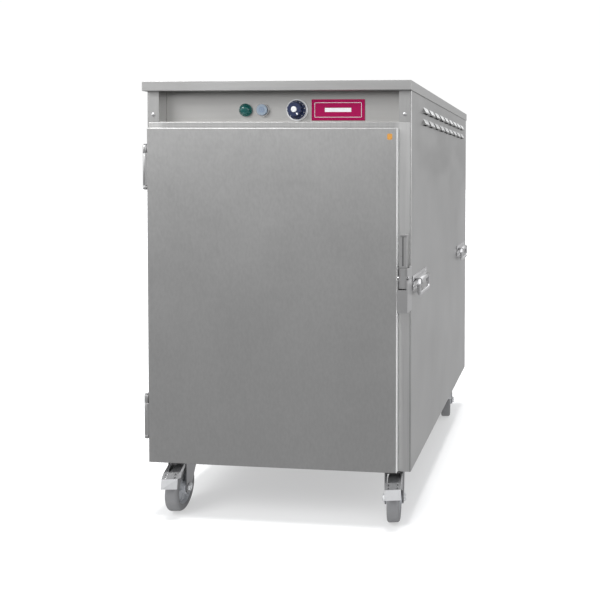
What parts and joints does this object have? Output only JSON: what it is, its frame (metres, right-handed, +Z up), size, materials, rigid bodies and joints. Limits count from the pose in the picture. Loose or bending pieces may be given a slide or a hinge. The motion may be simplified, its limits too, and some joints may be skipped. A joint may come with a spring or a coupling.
{
  "type": "proofing cabinet",
  "caption": "Insulated stainless proofing cabinet on braked swivel casters, with a hinged door, side latch, recessed controls, louvred sides and folding carrying handles.",
  "frame": {"origin": "on the floor under the middle of the body", "axes": "+Z up, the door faces -Y, +X towards the latch side"},
  "size_m": [0.633, 0.884, 0.972],
  "materials": {
    "stainless_panel": "fine satin grain",
    "stainless_inner": "2B mill finish",
    "stainless_fittings": "satin",
    "chrome_fittings": "polished",
    "zinc_steel": "bright zinc plate",
    "grey_tread": "satin grey rubber",
    "foam": "rigid foam",
    "seal_rubber": "matte",
    "black_plastic": "satin",
    "white_plastic": "gloss",
    "green_lens": "clear green lens",
    "crimson_plate": "gloss"
  },
  "bodies": {
    "cabinet": {"chassis_frame": "zinc_steel", "left_side_panel": "stainless_panel", "right_side_panel": "stainless_panel", "rear_panel": "stainless_panel", "top_cover": "stainless_panel", "front_frame": "stainless_panel", "fascia_cheeks": "stainless_panel", "control_fascia": "stainless_panel", "insulation": "foam", "inner_liner": "stainless_inner", "tray_rack_left": "stainless_inner", "tray_rack_right": "stainless_inner", "water_tray": "stainless_inner", "heater_element": "zinc_steel", "air_baffle": "stainless_inner", "fan_motor": "zinc_steel", "pilot_lamp_body": "black_plastic", "pilot_lamp_lens": "green_lens", "button_body": "black_plastic", "thermostat_body": "black_plastic", "knob_bezel": "stainless_fittings", "name_plate": "crimson_plate", "terminal_block": "white_plastic", "wiring": "black_plastic", "power_cable": "black_plastic", "cable_gland": "black_plastic", "screws": "stainless_fittings", "hinge_frame_leaves": "stainless_fittings", "hinge_pins": "stainless_fittings", "latch_housing": "stainless_fittings", "latch_pin": "chrome_fittings", "handle_plates": "chrome_fittings", "caster_plates": "zinc_steel"},
    "door": {"door_outer_skin": "stainless_panel", "door_inner_skin": "stainless_inner", "door_insulation": "foam", "door_gasket": "seal_rubber", "door_strike": "stainless_inner", "hinge_door_leaves": "stainless_fittings"},
    "lever": {"latch_lever": "stainless_fittings"},
    "tongue": {"latch_tongue": "stainless_fittings"},
    "knob": {"thermostat_knob": "black_plastic"},
    "button": {"button_cap": "white_plastic"},
    "fan": {"fan_wheel": "zinc_steel"},
    "bail_front_left": {"handle_bail_front_left": "chrome_fittings"},
    "bail_rear_left": {"handle_bail_rear_left": "chrome_fittings"},
    "bail_front_right": {"handle_bail_front_right": "chrome_fittings"},
    "bail_rear_right": {"handle_bail_rear_right": "chrome_fittings"},
    "swivel_front_left": {"caster_front_left_fork": "zinc_steel"},
    "wheel_front_left": {"caster_front_left_wheel": "grey_tread"},
    "pedal_front_left": {"caster_front_left_pedal": "zinc_steel"},
    "swivel_front_right": {"caster_front_right_fork": "zinc_steel"},
    "wheel_front_right": {"caster_front_right_wheel": "grey_tread"},
    "pedal_front_right": {"caster_front_right_pedal": "zinc_steel"},
    "swivel_rear_left": {"caster_rear_left_fork": "zinc_steel"},
    "wheel_rear_left": {"caster_rear_left_wheel": "grey_tread"},
    "pedal_rear_left": {"caster_rear_left_pedal": "zinc_steel"},
    "swivel_rear_right": {"caster_rear_right_fork": "zinc_steel"},
    "wheel_rear_right": {"caster_rear_right_wheel": "grey_tread"},
    "pedal_rear_right": {"caster_rear_right_pedal": "zinc_steel"}
  },
  "joints": [
    {"name": "door_hinge", "type": "hinge", "parent": "cabinet", "child": "door", "pos_m": [-0.298, -0.409, 0.502], "axis": [0, 0, -1], "range_deg": [0, 175]},
    {"name": "lever_turn", "type": "hinge", "parent": "cabinet", "child": "lever", "pos_m": [0.289, -0.43, 0.551], "axis": [1, 0, 0], "range_deg": [0, 55]},
    {"name": "tongue_slide", "type": "slide", "parent": "cabinet", "child": "tongue", "axis": [1, 0, 0], "range_m": [0, 0.006]},
    {"name": "thermostat_turn", "type": "hinge", "parent": "cabinet", "child": "knob", "pos_m": [0.034, -0.37, 0.9125], "axis": [0, 1, 0], "range_deg": [0, 270]},
    {"name": "button_press", "type": "slide", "parent": "cabinet", "child": "button", "axis": [0, 1, 0], "range_m": [0, 0.003]},
    {"name": "fan_spin", "type": "hinge", "parent": "cabinet", "child": "fan", "pos_m": [0, 0.04, 0.862], "axis": [0, 0, 1], "continuous": true},
    {"name": "bail_front_left_swing", "type": "hinge", "parent": "cabinet", "child": "bail_front_left", "pos_m": [-0.3105, -0.32, 0.536], "axis": [0, 1, 0], "range_deg": [0, 100]},
    {"name": "bail_rear_left_swing", "type": "hinge", "parent": "cabinet", "child": "bail_rear_left", "pos_m": [-0.3105, 0.29, 0.536], "axis": [0, 1, 0], "range_deg": [0, 100]},
    {"name": "bail_front_right_swing", "type": "hinge", "parent": "cabinet", "child": "bail_front_right", "pos_m": [0.3105, -0.32, 0.536], "axis": [0, -1, 0], "range_deg": [0, 100]},
    {"name": "bail_rear_right_swing", "type": "hinge", "parent": "cabinet", "child": "bail_rear_right", "pos_m": [0.3105, 0.29, 0.536], "axis": [0, -1, 0], "range_deg": [0, 100]},
    {"name": "swivel_front_left_turn", "type": "hinge", "parent": "cabinet", "child": "swivel_front_left", "pos_m": [-0.25, -0.3365, 0.115], "axis": [0, 0, 1], "continuous": true},
    {"name": "wheel_front_left_spin", "type": "hinge", "parent": "swivel_front_left", "child": "wheel_front_left", "pos_m": [-0.24513, -0.37116, 0.05], "axis": [0.9903, 0.1392, 0], "continuous": true},
    {"name": "pedal_front_left_press", "type": "hinge", "parent": "swivel_front_left", "child": "pedal_front_left", "pos_m": [-0.24416, -0.37809, 0.109], "axis": [0.9903, 0.1392, 0], "range_deg": [0, 8]},
    {"name": "swivel_front_right_turn", "type": "hinge", "parent": "cabinet", "child": "swivel_front_right", "pos_m": [0.25, -0.3365, 0.115], "axis": [0, 0, 1], "continuous": true},
    {"name": "wheel_front_right_spin", "type": "hinge", "parent": "swivel_front_right", "child": "wheel_front_right", "pos_m": [0.25638, -0.37091, 0.05], "axis": [0.9833, 0.1822, 0], "continuous": true},
    {"name": "pedal_front_right_press", "type": "hinge", "parent": "swivel_front_right", "child": "pedal_front_right", "pos_m": [0.25765, -0.3778, 0.109], "axis": [0.9833, 0.1822, 0], "range_deg": [0, 8]},
    {"name": "swivel_rear_left_turn", "type": "hinge", "parent": "cabinet", "child": "swivel_rear_left", "pos_m": [-0.25, 0.3125, 0.115], "axis": [0, 0, 1], "continuous": true},
    {"name": "wheel_rear_left_spin", "type": "hinge", "parent": "swivel_rear_left", "child": "wheel_rear_left", "pos_m": [-0.24452, 0.27793, 0.05], "axis": [0.9877, 0.1564, 0], "continuous": true},
    {"name": "pedal_rear_left_press", "type": "hinge", "parent": "swivel_rear_left", "child": "pedal_rear_left", "pos_m": [-0.24343, 0.27102, 0.109], "axis": [0.9877, 0.1564, 0], "range_deg": [0, 8]},
    {"name": "swivel_rear_right_turn", "type": "hinge", "parent": "cabinet", "child": "swivel_rear_right", "pos_m": [0.25, 0.3125, 0.115], "axis": [0, 0, 1], "continuous": true},
    {"name": "wheel_rear_right_spin", "type": "hinge", "parent": "swivel_rear_right", "child": "wheel_rear_right", "pos_m": [0.25668, 0.27814, 0.05], "axis": [0.9816, 0.1908, 0], "continuous": true},
    {"name": "pedal_rear_right_press", "type": "hinge", "parent": "swivel_rear_right", "child": "pedal_rear_right", "pos_m": [0.25801, 0.27127, 0.109], "axis": [0.9816, 0.1908, 0], "range_deg": [0, 8]}
  ],
  "couplings": [
    {"joint": "tongue_slide", "follows": "lever_turn", "m_per_rad": 0.006244}
  ]
}
